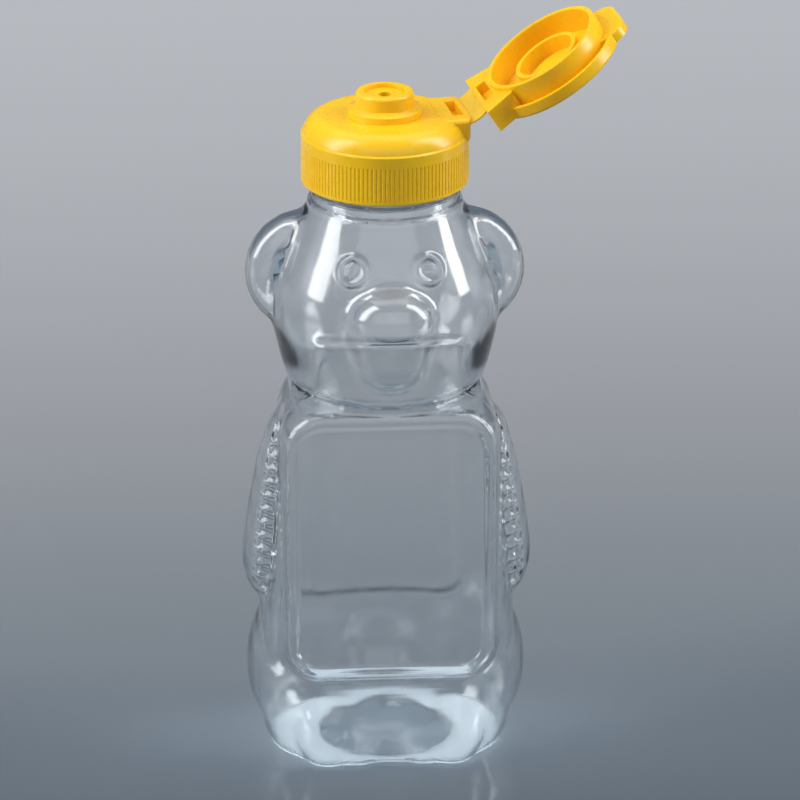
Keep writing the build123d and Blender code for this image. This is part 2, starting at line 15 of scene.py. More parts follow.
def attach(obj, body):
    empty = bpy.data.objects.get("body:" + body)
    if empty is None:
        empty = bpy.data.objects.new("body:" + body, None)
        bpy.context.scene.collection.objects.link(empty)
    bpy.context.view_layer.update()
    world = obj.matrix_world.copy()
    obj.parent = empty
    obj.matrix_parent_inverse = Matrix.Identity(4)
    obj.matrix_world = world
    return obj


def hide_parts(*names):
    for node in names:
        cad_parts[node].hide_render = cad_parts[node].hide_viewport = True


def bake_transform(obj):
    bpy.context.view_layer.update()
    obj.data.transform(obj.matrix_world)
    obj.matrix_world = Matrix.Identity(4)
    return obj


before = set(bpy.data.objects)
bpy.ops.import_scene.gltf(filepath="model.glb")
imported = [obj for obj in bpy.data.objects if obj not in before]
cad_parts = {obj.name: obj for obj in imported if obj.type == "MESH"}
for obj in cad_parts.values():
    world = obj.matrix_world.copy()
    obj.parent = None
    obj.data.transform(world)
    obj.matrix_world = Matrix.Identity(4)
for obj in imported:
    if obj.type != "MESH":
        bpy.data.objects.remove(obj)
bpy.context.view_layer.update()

LOG = logging.getLogger("honey_bear")
MM = 0.001
BALL_SIDES, BALL_RINGS = 64, 40
TURNED_SIDES, TURNED_RINGS = 96, 48
BEVEL_STEPS = 8
SOFTEN_SHARE = 0.5
SMALL_CREASE = 40.0
Pair = tuple[float, float]
Triple = tuple[float, float, float]
Row = tuple[float, ...]


class Body(Enum):
    """The bodies that the new pieces move with."""

    BOTTLE = "bottle"
    CAP = "cap"
    LID = "lid"


class Slot(Enum):
    """The material slot names of the new pieces."""

    CLEAR = "clear_bottle"
    FILM = "hinge_film"


def deselect_all() -> None:
    """Leaves object mode with nothing selected."""
    if bpy.context.mode != "OBJECT":
        bpy.ops.object.mode_set(mode="OBJECT")
    bpy.ops.object.select_all(action="DESELECT")


def activate(piece: bpy.types.Object) -> None:
    """Selects one object and makes it the active one.

    Args:
        piece: the object to work on.
    """
    deselect_all()
    piece.select_set(True)
    bpy.context.view_layer.objects.active = piece


@contextmanager
def editing(piece: bpy.types.Object) -> Iterator[None]:
    """Opens a piece in edit mode for the lines of a with block.

    Args:
        piece: the object to edit.

    Returns:
        The block's context.
    """
    activate(piece)
    bpy.ops.object.mode_set(mode="EDIT")
    yield
    bpy.ops.object.mode_set(mode="OBJECT")


def apply_modifiers(piece: bpy.types.Object) -> None:
    """Applies every modifier of a piece in order.

    Args:
        piece: the object whose modifiers are applied.
    """
    activate(piece)
    for modifier in list(piece.modifiers):
        bpy.ops.object.modifier_apply(modifier=modifier.name)


def soften(piece: bpy.types.Object, rounds: int) -> None:
    """Smooths a mesh.

    Args:
        piece: the mesh object.
        rounds: how often each point moves towards its neighbours.
    """
    smooth = piece.modifiers.new("soften", "SMOOTH")
    smooth.factor = SOFTEN_SHARE
    smooth.iterations = rounds
    apply_modifiers(piece)


def face_outward(piece: bpy.types.Object) -> None:
    """Turns all faces of a closed mesh outward."""
    with editing(piece):
        bpy.ops.mesh.select_all(action="SELECT")
        bpy.ops.mesh.normals_make_consistent(inside=False)


def shade(piece: bpy.types.Object, crease: float) -> None:
    """Shades a piece smooth, but not over edges sharper than an angle in degrees."""
    activate(piece)
    bpy.ops.object.shade_smooth_by_angle(angle=math.radians(crease))


def clear_marks(mesh: bpy.types.Mesh) -> None:
    """Deselects every point, edge and face of a mesh."""
    for part in (mesh.vertices, mesh.edges, mesh.polygons):
        part.foreach_set("select", np.zeros(len(part), bool))


def read_rows(items: bpy.types.bpy_prop_collection, name: str) -> np.ndarray:
    """Reads one vector of each of a mesh's points or faces.

    Args:
        items: the points or faces.
        name: what the vector is called.

    Returns:
        One row of three numbers for each item.
    """
    flat = np.zeros(len(items) * 3, np.float64)
    items.foreach_get(name, flat)
    return flat.reshape(-1, 3)


def read_points(piece: bpy.types.Object) -> np.ndarray:
    """Reads a mesh's points as rows in millimetres."""
    return read_rows(piece.data.vertices, "co") / MM


def read_normals(piece: bpy.types.Object) -> np.ndarray:
    """Reads the unit normal at each of a mesh's points."""
    return read_rows(piece.data.vertices, "normal")


def write_points(piece: bpy.types.Object, points: np.ndarray) -> None:
    """Writes points in millimetres back to a mesh."""
    piece.data.vertices.foreach_set("co", (points * MM).astype(np.float32).ravel())
    piece.data.update()


def smooth_step(value: np.ndarray, low: float, high: float) -> np.ndarray:
    """Rises smoothly between two limits.

    Args:
        value: where to read the step.
        low: the value where it starts to rise.
        high: the value where it reaches 1.

    Returns:
        Shares from 0 to 1.
    """
    part = np.clip((value - low) / (high - low), 0, 1)
    return part * part * (3 - 2 * part)


def smooth_fall(value: np.ndarray, low: float, high: float) -> np.ndarray:
    """Falls smoothly from 1 at the low limit to 0 at the high one."""
    return smooth_step(-value, -high, -low)


def ridge(value: np.ndarray, centre: float, width: float) -> np.ndarray:
    """Draws a soft ridge of height 1 that spreads by its width on both sides."""
    return np.exp(-(((value - centre) / width) ** 2))


def from_axis(points: np.ndarray) -> np.ndarray:
    """Measures the distance of points from the Z axis."""
    return np.hypot(points[:, 0], points[:, 1])


def turn_true(points: np.ndarray, radius: np.ndarray, share: np.ndarray) -> None:
    """Moves points straight out from the Z axis, or in, to a radius.

    Args:
        points: rows in millimetres, changed in place.
        radius: the wanted radius for each of them.
        share: how much of the way each goes, from 0 to 1.
    """
    away = np.maximum(from_axis(points), 1)
    points[:, :2] *= (1 + share * (radius / away - 1))[:, None]


def fit(piece: bpy.types.Object, centre: Triple, size: Triple) -> None:
    """Scales a mesh of size 1 and moves it to its place.

    Args:
        piece: the mesh object, still at the origin.
        centre: its middle in millimetres.
        size: its scale along each axis in millimetres.
    """
    scale = Matrix.Diagonal((*[s * MM for s in size], 1))
    piece.data.transform(Matrix.Translation(Vector(centre) * MM) @ scale)


def column(rings: int, around: int) -> tuple[bpy.types.Object, np.ndarray]:
    """Adds a closed upright column with even rings, to be shaped by its points.

    Args:
        rings: how many steps it has along its height.
        around: how many points each ring has.

    Returns:
        The column, and its points with radius 1 and heights from -1 to 1.
    """
    bpy.ops.mesh.primitive_cylinder_add(vertices=around, radius=1, depth=2)
    piece = bpy.context.object
    with editing(piece):
        for cut in range(1, rings):
            bpy.ops.mesh.select_all(action="SELECT")
            bpy.ops.mesh.bisect(plane_co=(0, 0, -1 + 2 * cut / rings), plane_no=(0, 0, 1))
    return piece, read_points(piece) * MM


def levels_of(points: np.ndarray, heights: Row) -> np.ndarray:
    """Spreads the heights of a column's points over those of an outline."""
    return heights[0] + (heights[-1] - heights[0]) * (points[:, 2] + 1) / 2


def turned(heights: Row, radii: Row) -> bpy.types.Object:
    """Adds a closed body of revolution round the Z axis.

    Args:
        heights: the levels of the outline in millimetres.
        radii: the radius at each of them.

    Returns:
        The body.
    """
    piece, points = column(TURNED_RINGS, TURNED_SIDES)
    level = levels_of(points, heights)
    radius = np.interp(level, heights, radii)
    write_points(piece, np.stack([points[:, 0] * radius, points[:, 1] * radius, level], 1))
    return piece


def mirror_over(piece: bpy.types.Object) -> bpy.types.Object:
    """Mirrors a piece to the other side of the bear.

    Args:
        piece: the piece to move over.

    Returns:
        The same piece, its faces still outward.
    """
    piece.data.transform(Matrix.Scale(-1, 4, (1, 0, 0)))
    face_outward(piece)
    return piece


def report(piece: bpy.types.Object) -> None:
    """Logs how many triangles a piece has."""
    LOG.info("%s: %d triangles", piece.name, sum(face.loop_total - 2 for face in piece.data.polygons))


@dataclass(frozen=True)
class Ball:
    """A rounded bulge of the bear, in millimetres."""

    centre: Triple
    size: Triple

    def add(self) -> bpy.types.Object:
        """Adds the bulge as a mesh.

        Returns:
            The new ball.
        """
        bpy.ops.mesh.primitive_uv_sphere_add(segments=BALL_SIDES, ring_count=BALL_RINGS, radius=1)
        ball = bpy.context.object
        fit(ball, self.centre, self.size)
        return ball

    def add_pair(self) -> list[bpy.types.Object]:
        """Adds the bulge on both sides of the bear."""
        x, y, z = self.centre
        return [self.add(), Ball((-x, y, z), self.size).add()]


@dataclass(frozen=True)
class Panel:
    """The outline of a label panel with round corners, in millimetres."""

    half_width: float
    low: float
    high: float
    corner: float = 7.0

    def gap(self, points: np.ndarray) -> np.ndarray:
        """Measures how far points lie outside the outline, seen from the front.

        Args:
            points: rows in millimetres.

        Returns:
            The distance for each point, negative inside.
        """
        along = np.abs(points[:, 0]) - (self.half_width - self.corner)
        half_height = (self.high - self.low) / 2
        up = np.abs(points[:, 2] - (self.high + self.low) / 2) - (half_height - self.corner)
        outside = np.hypot(np.maximum(along, 0), np.maximum(up, 0))
        return outside + np.minimum(np.maximum(along, up), 0) - self.corner


@dataclass(frozen=True)
class Torso:
    """The body with its belly block and its two label panels, in millimetres."""

    rings: int = 64
    around: int = 128
    levels: Row = (-0.5, 4, 14, 28, 42, 59, 85, 93, 96.3, 97.2)
    widths: Row = (29.2, 30.9, 32.0, 32.0, 31.6, 30.6, 27.8, 26.0, 23.0, 21.4)
    fronts: Row = (22.0, 22.6, 22.8, 22.8, 22.8, 22.8, 22.8, 22.2, 20.8, 19.6)
    backs: Row = (23.1, 24.8, 26.3, 26.4, 26.3, 26.0, 26.0, 24.9, 22.4, 20.8)
    square_levels: Row = (0, 4, 14, 28, 42)
    squareness: Row = (2.3, 2.4, 3.0, 3.8, 5.0)
    back_squareness: float = 2.45
    feet_gap: Ball = Ball((0, -26.5, 3.0), (9.5, 7.0, 19.0))
    belly_half_width: float = 26.3
    belly_draft: float = 0.18
    belly_low: float = 24.5
    belly_high: float = 96.6
    belly_front: float = 26.0
    belly_back: float = 16.0
    belly_corner: float = 9.0
    belly_edge: float = 3.1
    front_panel: Panel = Panel(23.5, 28.0, 93.0)
    back_panel: Panel = Panel(22.0, 29.0, 91.0)
    sink: float = 1.2
    back_sink: float = 3.0
    slope: float = 1.2
    inner_slope: float = 2.4
    front_side: float = -20.0
    back_side: Pair = (10.0, 14.0)

    def add(self) -> list[bpy.types.Object]:
        """Adds the torso's own column and the belly block."""
        return [self.trunk(), self.belly()]

    def trunk(self) -> bpy.types.Object:
        """Adds a column whose rings follow the sections of the body.

        Returns:
            The column.
        """
        piece, points = column(self.rings, self.around)
        level = levels_of(points, self.levels)
        angle = np.arctan2(points[:, 1], points[:, 0])
        cos, sin = np.abs(np.cos(angle)), np.abs(np.sin(angle))
        facing = points[:, 1] < 0
        width = np.interp(level, self.levels, self.widths)
        depth = np.interp(level, self.levels, self.backs)
        depth = np.where(facing, np.interp(level, self.levels, self.fronts), depth)
        power = np.interp(level, self.square_levels, self.squareness)
        power = np.where(facing, power, np.minimum(power, self.back_squareness))
        reach = ((cos / width) ** power + (sin / depth) ** power) ** (-1 / power)
        reach *= from_axis(points)
        write_points(piece, np.stack([reach * np.cos(angle), reach * np.sin(angle), level], 1))
        return self.part_feet(piece)

    def part_feet(self, trunk: bpy.types.Object) -> bpy.types.Object:
        """Cuts the gap between the feet out of the column.

        Args:
            trunk: the column.

        Returns:
            The same column with the gap.
        """
        cutter = self.feet_gap.add()
        activate(trunk)
        cut = trunk.modifiers.new("gap", "BOOLEAN")
        cut.operation = "DIFFERENCE"
        cut.object = cutter
        apply_modifiers(trunk)
        bpy.data.objects.remove(cutter)
        return trunk

    def belly(self) -> bpy.types.Object:
        """Adds the board with round corners that stands out of the front.

        Returns:
            The board, its sides sloping out towards the body.
        """
        bpy.ops.mesh.primitive_cube_add(size=1)
        board = bpy.context.object
        depth, height = self.belly_front - self.belly_back, self.belly_high - self.belly_low
        middle = (0, -(self.belly_front + self.belly_back) / 2, (self.belly_high + self.belly_low) / 2)
        fit(board, middle, (2 * self.belly_half_width, depth, height))
        points = read_points(board)
        widen = self.belly_draft * (points[:, 1] + self.belly_front)
        points[:, 0] += np.sign(points[:, 0]) * widen
        write_points(board, points)
        self.round_edges(board, self.belly_corner, lambda a, b: abs(a.y - b.y) > MM)
        front = -self.belly_front * MM + MM / 10
        self.round_edges(board, self.belly_edge, lambda a, b: a.y < front and b.y < front)
        return board

    def round_edges(
        self, board: bpy.types.Object, radius: float, wanted: Callable[[Vector, Vector], bool]
    ) -> None:
        """Rounds the edges of the belly board that a test picks.

        Args:
            board: the board.
            radius: the radius in millimetres.
            wanted: tells from an edge's two ends whether it is rounded.
        """
        mesh = board.data
        clear_marks(mesh)
        for edge in mesh.edges:
            ends = [mesh.vertices[index].co for index in edge.vertices]
            edge.select = wanted(*ends)
        bpy.context.tool_settings.mesh_select_mode = (False, True, False)
        with editing(board):
            bpy.ops.mesh.bevel(offset=radius * MM, segments=BEVEL_STEPS, affect="EDGES")

    def detail(self, points: np.ndarray) -> np.ndarray:
        """Picks the places that need a finer mesh: the edges of the panels.

        Args:
            points: rows in millimetres.

        Returns:
            True for each point to refine.
        """
        y = points[:, 1]
        front = (np.abs(self.front_panel.gap(points)) < self.inner_slope) & (y < self.front_side)
        back = (np.abs(self.back_panel.gap(points)) < self.inner_slope) & (y > self.back_side[1])
        return front | back

    def press(self, points: np.ndarray, normals: np.ndarray, slope: float) -> None:
        """Sinks the flat panel of the belly and the bowed one of the back.

        Args:
            points: rows in millimetres, changed in place.
            normals: one unit row for each point.
            slope: half the width of the panels' sloping edges.
        """
        y = points[:, 1].copy()
        inside = smooth_fall(self.front_panel.gap(points), -slope, slope) * (y < self.front_side)
        points[:, 1] += inside * (self.sink - self.belly_front - y)
        inside = smooth_fall(self.back_panel.gap(points), -slope, slope) * smooth_step(y, *self.back_side)
        points[:, :2] -= (inside * self.back_sink)[:, None] * normals[:, :2]


@dataclass(frozen=True)
class Head:
    """The head with ears, muzzle, nose, chin, eyes and mouth, in millimetres."""

    heights: Row = (95.2, 96.0, 97.4, 99.2, 101.6, 104.4, 111.0, 117.5, 125.0, 132.0, 138.4, 141.8, 144.4)
    radii: Row = (17.0, 20.5, 23.2, 24.7, 25.6, 26.3, 27.8, 28.1, 27.0, 24.4, 21.3, 19.9, 19.1)
    crease_level: float = 96.6
    crease_rise: Pair = (-0.5, 0.2)
    crease_fall: Pair = (98.5, 101.0)
    crease_near: Pair = (3.0, 4.5)
    crease_front: Pair = (-6.0, 3.0)
    crease_zone: Pair = (0.6, 2.2)
    ear_centre: Triple = (19.2, 1.5, 125.2)
    ear_radius: float = 15.6
    ear_thickness: float = 11.0
    ear_round: float = 4.6
    ear_steps: int = 41
    dish_radius: float = 10.8
    dish_edge: float = 2.5
    dish_depth: float = 1.6
    dish_facing: float = -0.5
    dish_front: float = -12.0
    dish_clear: float = 0.5
    muzzle: Ball = Ball((0, -22.5, 117.0), (12.0, 10.5, 13.8))
    nose: Ball = Ball((0, -27.5, 122.2), (10.4, 7.5, 7.4))
    chin: Ball = Ball((0, -21.1, 109.0), (10.4, 8.8, 8.6))
    eye: Triple = (9.4, -22.4, 133.2)
    eye_radius: float = 3.3
    eye_ring: float = 0.95
    eye_height: float = 0.75
    eye_zone: float = 3.0
    rim_extra: float = 0.95
    rim_rise: Pair = (95.0, 99.0)
    rim_fall: Pair = (102.0, 114.0)
    mouth_level: float = 113.8
    mouth_half_width: float = 19.5
    mouth_depth: float = 1.3
    mouth_fade: float = 9.0
    mouth_slope: float = 0.31
    mouth_front: float = -21.4
    mouth_end: float = 3.0
    mouth_zone: Pair = (2.5, 2.0)
    face_front: Pair = (-14.0, -8.0)
    face_side: float = -10.0

    def add(self) -> list[bpy.types.Object]:
        """Adds the skull, both ears and the bulges of the face."""
        pieces = [turned(self.heights, self.radii), self.ear(), mirror_over(self.ear())]
        return pieces + [ball.add() for ball in (self.muzzle, self.nose, self.chin)]

    def ear(self) -> bpy.types.Object:
        """Adds one ear: a disc with round edges.

        Returns:
            The ear on the side of +X.
        """
        half, flat = self.ear_thickness / 2, self.ear_thickness / 2 - self.ear_round
        heights = np.linspace(-half, half, self.ear_steps)
        over = np.maximum(np.abs(heights) - flat, 0)
        radii = self.ear_radius - self.ear_round + np.sqrt(np.maximum(self.ear_round**2 - over**2, 0))
        ear = turned(tuple(heights), tuple(radii))
        ear.data.transform(Matrix.Rotation(math.radians(90), 4, "X"))
        ear.data.transform(Matrix.Translation(Vector(self.ear_centre) * MM))
        return ear

    def detail(self, points: np.ndarray) -> np.ndarray:
        """Picks the places that need a finer mesh: eyes, mouth line and lower crease.

        Args:
            points: rows in millimetres.

        Returns:
            True for each point to refine.
        """
        x, y, z = points.T
        eyes = np.hypot(np.abs(x) - self.eye[0], z - self.eye[2]) < self.eye_radius + self.eye_zone
        mouth = np.abs(self.mouth_rise(points)) < self.mouth_zone[0]
        mouth &= np.abs(x) < self.mouth_half_width + self.mouth_zone[1]
        crease = np.abs(z - self.crease_level - self.crease_zone[0]) < self.crease_zone[1]
        return (eyes | mouth) & (y < self.face_side) | crease

    def mouth_rise(self, points: np.ndarray) -> np.ndarray:
        """Measures how far points lie above the sloping plane of the mouth line."""
        return points[:, 2] - self.mouth_level + self.mouth_slope * (points[:, 1] - self.mouth_front)

    def crease(self, points: np.ndarray) -> None:
        """Turns the lowest part of the head true, so that it meets the body in a crease.

        Args:
            points: rows in millimetres, changed in place.
        """
        z = points[:, 2]
        target = np.interp(z, self.heights, self.radii)
        low, high = self.crease_rise
        share = smooth_step(z, self.crease_level + low, self.crease_level + high)
        near = smooth_fall(np.abs(from_axis(points) - target), *self.crease_near)
        share *= smooth_fall(z, *self.crease_fall) * near
        share *= smooth_fall(points[:, 1], *self.crease_front)
        turn_true(points, target, share)

    def thicken(self, points: np.ndarray) -> np.ndarray:
        """Measures how much thicker the wall is round the lower rim of the head."""
        z = points[:, 2]
        return self.rim_extra * smooth_step(z, *self.rim_rise) * smooth_fall(z, *self.rim_fall)

    def part_lips(self, points: np.ndarray, normals: np.ndarray, slope: float) -> None:
        """Sinks the lower lip, so that the upper one stands over it.

        Args:
            points: rows in millimetres, changed in place.
            normals: one unit row for each point.
            slope: half the height of the step.
        """
        rise = self.mouth_rise(points)
        step = smooth_fall(rise, -slope, slope) * smooth_step(rise, -self.mouth_fade, -slope)
        step *= smooth_fall(points[:, 1], *self.face_front)
        step *= smooth_step(self.mouth_half_width - np.abs(points[:, 0]), 0, self.mouth_end)
        points -= (self.mouth_depth * step)[:, None] * normals

    def press(self, points: np.ndarray, normals: np.ndarray) -> None:
        """Raises the rings of the eyes and dishes the ears.

        Args:
            points: rows in millimetres, changed in place.
            normals: one unit row for each point.
        """
        x, y, z = points.T.copy()
        eye_x, eye_y, eye_z = self.eye
        away = np.sqrt((np.abs(x) - eye_x) ** 2 + (y - eye_y) ** 2 + (z - eye_z) ** 2)
        ring = self.eye_height * ridge(away, self.eye_radius, self.eye_ring)
        points += (ring * smooth_fall(y, *self.face_front))[:, None] * normals
        out = np.hypot(np.abs(x) - self.ear_centre[0], z - self.ear_centre[2])
        dish = smooth_step(self.dish_radius - out, 0, self.dish_edge)
        dish *= (normals[:, 1] < self.dish_facing) & (y > self.dish_front)
        clear = np.hypot(x, y) > np.interp(z, self.heights, self.radii) + self.dish_clear
        points[:, 1] += self.dish_depth * dish * clear


@dataclass(frozen=True)
class Arms:
    """Both arms with the row of ribs down their fronts, in millimetres and degrees."""

    heights: Row = (0.0, 0.6, 3.4, 8.6, 14.5, 26.0, 37.0, 46.5, 53.6, 54.2)
    radii: Row = (0.3, 3.9, 7.0, 9.2, 9.7, 9.2, 8.2, 6.6, 3.4, 0.3)
    hand: Triple = (27.9, -5.0, 39.5)
    shoulder: Triple = (22.6, -3.2, 94.0)
    core: float = 0.5
    near: float = 2.4
    rib_pitch: float = 3.5
    rib_first: float = 6.4
    rib_depth: float = 0.9
    rib_turn: float = 6.0
    rib_tilt: float = 5.0
    rib_reach: float = 46.0
    rib_fade: float = 12.0
    rib_rise: Pair = (3.5, 6.0)
    rib_fall: Pair = (46.0, 50.0)
    rib_share: float = 0.02

    def add(self) -> list[bpy.types.Object]:
        """Adds both arms.

        Returns:
            The two limbs.
        """
        pair = []
        for side in (1, -1):
            limb = turned(self.heights, self.radii)
            limb.data.transform(self.place())
            pair.append(limb if side > 0 else mirror_over(limb))
        return pair

    def place(self) -> Matrix:
        """Works out where the arm's own axis stands on the bear.

        Returns:
            The transform of the arm on the side of +X, in metres.
        """
        hand, shoulder = Vector(self.hand), Vector(self.shoulder)
        turn = Vector((0, 0, 1)).rotation_difference(shoulder - hand).to_matrix().to_4x4()
        return Matrix.Translation(hand * MM) @ turn

    def local(self, points: np.ndarray) -> np.ndarray:
        """Brings points into an arm's own frame, whichever side they are on.

        Args:
            points: rows in millimetres.

        Returns:
            Rows in the frame of the arm.
        """
        inverse = np.array(self.place().inverted())
        near = points.copy()
        near[:, 0] = np.abs(near[:, 0])
        return near @ inverse[:3, :3].T + inverse[:3, 3] / MM

    def window(self, local: np.ndarray) -> np.ndarray:
        """Marks the ribbed strip of an arm.

        Args:
            local: rows in the frame of the arm.

        Returns:
            Shares from 0 to 1.
        """
        level = local[:, 2]
        angle = np.degrees(np.arctan2(local[:, 0], -local[:, 1]))
        radius = np.interp(level, self.heights, self.radii)
        on_arm = smooth_fall(np.abs(from_axis(local) - radius), self.near / 2, self.near)
        strip = smooth_step(self.rib_reach - np.abs(angle - self.rib_turn), 0, self.rib_fade)
        return on_arm * strip * smooth_step(level, *self.rib_rise) * smooth_fall(level, *self.rib_fall)

    def detail(self, points: np.ndarray) -> np.ndarray:
        """Picks the places that need a finer mesh: the ribs."""
        return self.window(self.local(points)) > self.rib_share

    def press(self, points: np.ndarray, depth: float) -> None:
        """Turns the ribbed strip of each arm true and presses its grooves.

        Args:
            points: rows in millimetres, changed in place.
            depth: how deep the grooves are.
        """
        local = self.local(points)
        lean = local[:, 2] - local[:, 0] * math.tan(math.radians(self.rib_tilt))
        wave = np.cos(math.pi * (lean - self.rib_first) / self.rib_pitch) ** 2
        away = np.maximum(from_axis(local), self.core)
        radius = np.interp(local[:, 2], self.heights, self.radii)
        shift = self.window(local) * (radius - away - depth * wave) / away
        move = np.zeros_like(points)
        move[:, :2] = local[:, :2] * shift[:, None]
        move = move @ np.array(self.place())[:3, :3].T
        move[:, 0] *= np.where(points[:, 0] < 0, -1, 1)
        points += move


@dataclass(frozen=True)
class Base:
    """Hips, feet, tail and the push-up of the underside, in millimetres."""

    hip: Ball = Ball((19.2, 1.0, 20.5), (16.0, 22.0, 21.5))
    foot: Ball = Ball((15.4, -14.2, 9.5), (9.6, 11.6, 12.5))
    tail: Ball = Ball((0, 25.2, 15.2), (8.8, 4.2, 8.8))
    dome_radius: float = 17.0
    dome_height: float = 6.0
    dome_level: float = 0.4
    edge_level: float = 1.0
    edge_zone: float = 3.0

    def add(self) -> list[bpy.types.Object]:
        """Adds the bulges of the lower body."""
        return self.hip.add_pair() + self.foot.add_pair() + [self.tail.add()]

    def detail(self, points: np.ndarray) -> np.ndarray:
        """Picks the places that need a finer mesh: the edge of the push-up."""
        off_edge = np.abs(from_axis(points) - self.dome_radius)
        return (points[:, 2] < self.edge_level) & (off_edge < self.edge_zone)

    def flatten(self, points: np.ndarray) -> None:
        """Lays the underside flat on the floor."""
        points[:, 2] = np.maximum(points[:, 2], 0)

    def press(self, points: np.ndarray) -> None:
        """Pushes the middle of the underside up into a dome.

        Args:
            points: rows in millimetres, changed in place.
        """
        under = points[:, 2] < self.dome_level
        out = np.clip(from_axis(points) / self.dome_radius, 0, 1)
        points[:, 2] += under * self.dome_height * (1 - out**2)


@dataclass(frozen=True)
class Neck:
    """Collar, bead, thread and lip of the neck, in millimetres."""

    radius: float = 17.65
    top: float = 161.4
    bottom: float = 141.0
    spare: float = 2.0
    levels: Row = (143.4, 144.3, 144.6, 146.6, 146.9, 147.3, 147.6, 148.4, 148.7, 149.0, 161.0, 161.4)
    radii: Row = (19.35, 19.05, 18.3, 18.3, 17.8, 17.9, 19.1, 19.1, 17.9, 17.65, 17.65, 17.2)
    rise: Pair = (142.4, 143.6)
    zone: Pair = (142.5, 149.5)
    bore_levels: Row = (138.5, 141.5, 143.5, 144.6, 147.5, 149.5, 152.0)
    bore_radii: Row = (20.4, 19.2, 18.5, 17.5, 17.0, 16.2, 15.6)
    thread_rings: int = 72
    thread_around: int = 12
    thread_pitch: float = 4.233
    thread_depth: float = 1.1
    thread_root: float = 2.3
    thread_crest: float = 1.0
    thread_sink: float = 0.25
    thread_start: float = 152.9
    thread_turns: float = 1.1
    thread_fade: float = 0.12

    def add(self) -> list[bpy.types.Object]:
        """Adds the rough neck, a little taller than it gets."""
        return [turned((self.bottom, self.top + self.spare), (self.radius, self.radius))]

    def detail(self, points: np.ndarray) -> np.ndarray:
        """Picks the places that need a finer mesh: the collar and the bead."""
        return (points[:, 2] > self.zone[0]) & (points[:, 2] < self.zone[1])

    def cut(self, skin: bpy.types.Object) -> None:
        """Cuts the neck open and draws a clean ring at each of its levels.

        Args:
            skin: the skin of the bottle.
        """
        with editing(skin):
            for level in self.levels[1:]:
                bpy.ops.mesh.select_all(action="SELECT")
                last = level == self.top
                bpy.ops.mesh.bisect(plane_co=(0, 0, level * MM), plane_no=(0, 0, 1), clear_outer=last)

    def press(self, points: np.ndarray) -> None:
        """Turns the outside of the neck true."""
        target = np.interp(points[:, 2], self.levels, self.radii)
        turn_true(points, target, smooth_step(points[:, 2], *self.rise))

    def bore_out(self, inner: np.ndarray) -> None:
        """Turns the inside of the neck true.

        Args:
            inner: rows of the inner side in millimetres, changed in place.
        """
        share = smooth_step(inner[:, 2], self.bore_levels[0], self.bore_levels[1])
        turn_true(inner, np.interp(inner[:, 2], self.bore_levels, self.bore_radii), share)

    def thread(self) -> bpy.types.Object:
        """Adds the screw thread, its ends run out into the wall.

        Returns:
            The thread, named as a piece of the bottle.
        """
        piece, points = column(self.thread_rings, self.thread_around)
        part = (points[:, 2] + 1) / 2
        full = np.clip(np.minimum(part, 1 - part) / self.thread_fade, 0, 1)
        out = (points[:, 0] + 1) / 2
        half = self.thread_root / 2 + (self.thread_crest - self.thread_root) / 2 * out
        radius = self.radius - self.thread_sink + (self.thread_sink + self.thread_depth * full) * out
        turn = 2 * math.pi * self.thread_turns * part
        level = self.thread_start + self.thread_pitch * self.thread_turns * part + points[:, 1] * half
        write_points(piece, np.stack([radius * np.cos(turn), radius * np.sin(turn), level], 1))
        piece.name = "neck_thread"
        face_outward(piece)
        shade(piece, SMALL_CREASE)
        return piece


